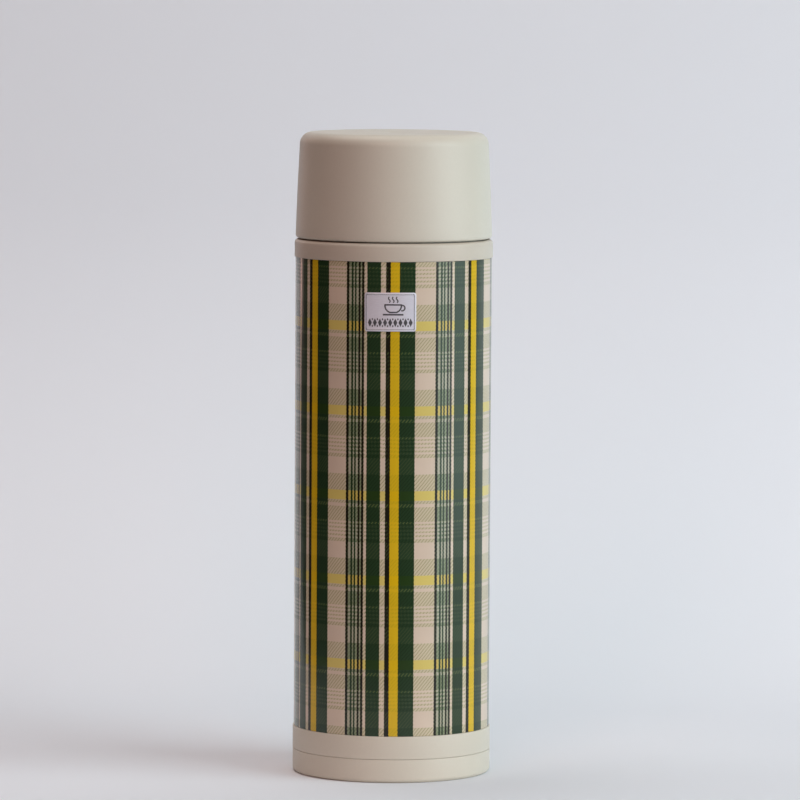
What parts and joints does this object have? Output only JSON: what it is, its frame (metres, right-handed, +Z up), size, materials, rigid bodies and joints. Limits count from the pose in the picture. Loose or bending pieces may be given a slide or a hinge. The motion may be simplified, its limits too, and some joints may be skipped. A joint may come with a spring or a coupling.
{
  "type": "vacuum flask",
  "caption": "Slim cylindrical vacuum flask with a glass liner in a tartan-printed steel case, a screw-on double-walled cup, a screw stopper and a screwed base cap.",
  "frame": {"origin": "centre of the circle on which the base cap stands", "axes": "+Z up along the flask's axis; -Y is the front, where the badge is; +X is to the right seen from the front"},
  "size_m": [0.0828, 0.0828, 0.268],
  "materials": {
    "cream_plastic": "satin moulded polypropylene, warm cream, slightly aged",
    "ivory_plastic": "satin moulded polypropylene, ivory white",
    "stopper_plastic": "satin moulded polyethylene, cream",
    "printed_steel": "lithographed tartan print under clear lacquer, glossy",
    "badge_foil": "satin silver foil with a dark printed border",
    "silvered_glass": "clear glass, silvered on the vacuum side",
    "seal_rubber": "soft translucent grey seal",
    "cushion_rubber": "black rubber, matt",
    "felt": "grey-brown fibre",
    "foam": "white expanded foam"
  },
  "bodies": {
    "flask_body": {"pour_neck": "ivory_plastic", "shoulder_collar": "cream_plastic", "neck_gasket": "seal_rubber", "case_tube": "printed_steel", "badge_plate": "badge_foil", "inner_flask": "silvered_glass", "outer_flask": "silvered_glass", "glass_spacer_1": "felt", "glass_spacer_2": "felt", "glass_spacer_3": "felt", "liner_bumper": "felt", "base_ring": "cream_plastic"},
    "cup_inside": {"cup_liner": "ivory_plastic"},
    "cup": {"cup_shell": "cream_plastic"},
    "stopper_seal": {"stopper_gasket": "seal_rubber"},
    "stopper": {"stopper_cap": "stopper_plastic", "stopper_body": "ivory_plastic", "stopper_core": "foam"},
    "base_inside": {"tail_cushion": "cushion_rubber"},
    "base": {"base_cap": "cream_plastic"}
  },
  "joints": [
    {"name": "cup_lift", "type": "slide", "parent": "flask_body", "child": "cup_inside", "axis": [0, 0, 1], "range_m": [0, 0.0401]},
    {"name": "cup_turn", "type": "hinge", "parent": "cup_inside", "child": "cup", "pos_m": [0, 0, 0.246], "axis": [0, 0, 1], "range_deg": [0, 1440]},
    {"name": "stopper_lift", "type": "slide", "parent": "flask_body", "child": "stopper_seal", "axis": [0, 0, 1], "range_m": [0, 0.0081]},
    {"name": "stopper_turn", "type": "hinge", "parent": "stopper_seal", "child": "stopper", "pos_m": [0, 0, 0.236], "axis": [0, 0, 1], "range_deg": [0, 720]},
    {"name": "base_drop", "type": "slide", "parent": "flask_body", "child": "base_inside", "axis": [0, 0, -1], "range_m": [0, 0.0121]},
    {"name": "base_turn", "type": "hinge", "parent": "base_inside", "child": "base", "pos_m": [0, 0, 0.014], "axis": [0, 0, -1], "range_deg": [0, 540]}
  ],
  "couplings": [
    {"joint": "cup_lift", "follows": "cup_turn", "m_per_rad": 0.0015915},
    {"joint": "stopper_lift", "follows": "stopper_turn", "m_per_rad": 0.00063662},
    {"joint": "base_drop", "follows": "base_turn", "m_per_rad": 0.0012732}
  ]
}
